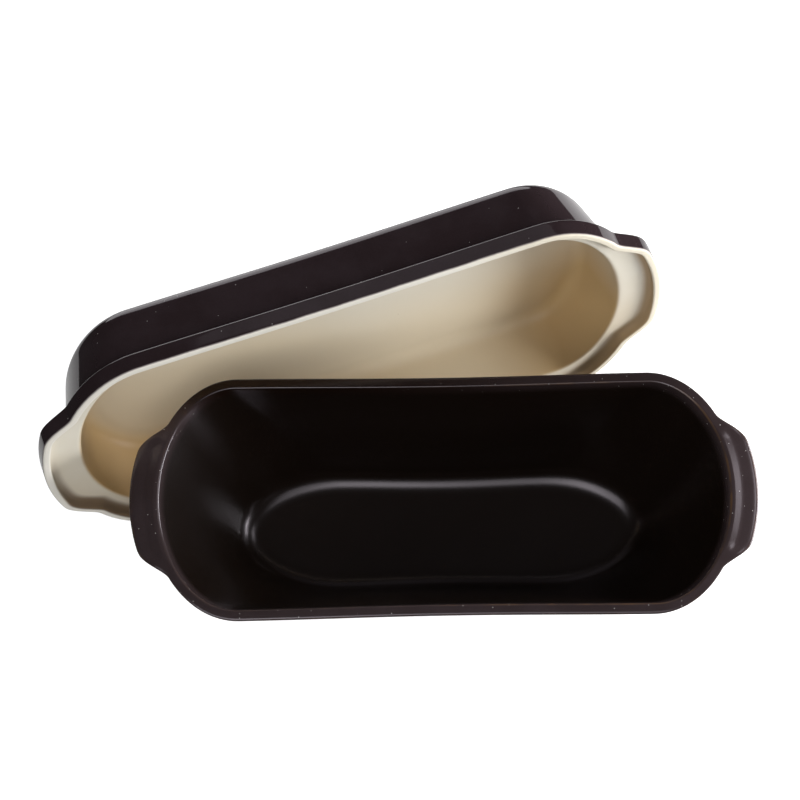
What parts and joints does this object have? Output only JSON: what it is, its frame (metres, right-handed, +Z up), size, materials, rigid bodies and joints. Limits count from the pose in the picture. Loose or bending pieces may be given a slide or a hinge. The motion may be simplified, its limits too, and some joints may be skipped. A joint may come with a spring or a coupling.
{
  "type": "lidded loaf baker",
  "caption": "Long glazed stoneware loaf baker: a deep trough with flaring tabs at its ends and a shallow lid whose skirt fits over the rim, here taken off and lying on its side behind it.",
  "frame": {"origin": "on the table, under the middle of the base's foot", "axes": "+X along the base's length towards its right-hand tab, +Z up, -Y towards the viewer; the lid lies at +Y"},
  "size_m": [0.4323, 0.2608, 0.1621],
  "materials": {
    "base_glaze": "very dark charcoal-aubergine glossy glaze inside and out, with fine pale specks and a thin brown break along the edges; bare clay under the foot",
    "lid_glaze": "very dark charcoal-aubergine glossy glaze outside, warm cream glaze inside and along the edge of the skirt"
  },
  "bodies": {
    "base": {"base": "base_glaze"},
    "lid": {"lid": "lid_glaze"}
  },
  "joints": [
    {"name": "lid_lift", "type": "slide", "parent": "base", "child": "lid", "axis": [-0.2138, 0.674, 0.7071], "range_m": [0, 0.25]}
  ]
}
